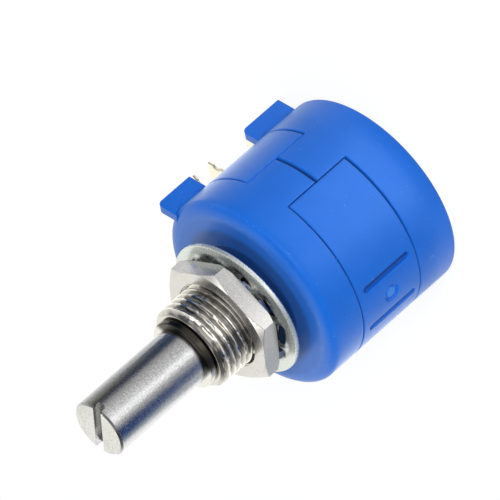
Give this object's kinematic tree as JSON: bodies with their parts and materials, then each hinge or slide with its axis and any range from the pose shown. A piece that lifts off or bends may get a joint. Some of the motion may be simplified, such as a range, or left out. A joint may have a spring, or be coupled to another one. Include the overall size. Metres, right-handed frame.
{
  "type": "rotary potentiometer",
  "caption": "Multi-turn wirewound rotary potentiometer: round moulded case, threaded panel bushing with hex nut and toothed lock washer, slotted metal shaft, and solder lugs on its side.",
  "frame": {"origin": "centre of the flat rear face, on the shaft's axis", "axes": "+Z along the shaft towards its slotted end, +X along the solder lugs"},
  "size_m": [0.0264, 0.0222, 0.0402],
  "materials": {
    "case_plastic": "satin moulded thermoset, royal blue",
    "bushing_nickel": "satin nickel plate on brass, turned and threaded",
    "nut_nickel": "satin nickel plate on brass",
    "washer_steel": "bright plated spring steel",
    "ring_steel": "dark phosphated spring steel",
    "shaft_steel": "fine turned stainless steel",
    "rotor_plastic": "matt moulded",
    "carriage_plastic": "matt, self-lubricating",
    "contact_alloy": "bright contact alloy",
    "coil_wire": "enamelled mandrel wound with resistance wire",
    "shim_plastic": "matt film",
    "terminal_gold": "gold flash over nickel"
  },
  "bodies": {
    "case": {"front_cover": "case_plastic", "centre_housing": "case_plastic", "rear_cover": "case_plastic", "bushing": "bushing_nickel", "resistance_coil": "coil_wire", "front_coil_lead": "contact_alloy", "rear_coil_lead": "contact_alloy", "slip_ring_brush": "contact_alloy", "front_terminal": "terminal_gold", "middle_terminal": "terminal_gold", "rear_terminal": "terminal_gold"},
    "shaft_and_rotor": {"shaft": "shaft_steel", "rotor": "rotor_plastic", "collector_rail": "contact_alloy", "slip_ring": "contact_alloy", "retaining_ring": "ring_steel", "thrust_washer": "shim_plastic"},
    "wiper": {"wiper_carriage": "carriage_plastic", "wiper_contact": "contact_alloy"},
    "washer": {"lock_washer": "washer_steel"},
    "nut": {"hex_nut": "nut_nickel"}
  },
  "joints": [
    {"name": "shaft_turn", "type": "hinge", "parent": "case", "child": "shaft_and_rotor", "pos_m": [0, 0, 0], "axis": [0, 0, 1], "range_deg": [-1800, 1800]},
    {"name": "wiper_slide", "type": "slide", "parent": "shaft_and_rotor", "child": "wiper", "axis": [0, 0, 1], "range_m": [-0.00525, 0.00525]},
    {"name": "washer_travel", "type": "slide", "parent": "case", "child": "washer", "axis": [0, 0, 1], "range_m": [0, 0.00411]},
    {"name": "nut_turn", "type": "hinge", "parent": "washer", "child": "nut", "pos_m": [0, 0, 0], "axis": [0, 0, 1], "range_deg": [0, 1864]}
  ],
  "couplings": [
    {"joint": "shaft_turn", "follows": "wiper_slide", "rad_per_m": 5984},
    {"joint": "nut_turn", "follows": "washer_travel", "rad_per_m": 7915.8}
  ]
}
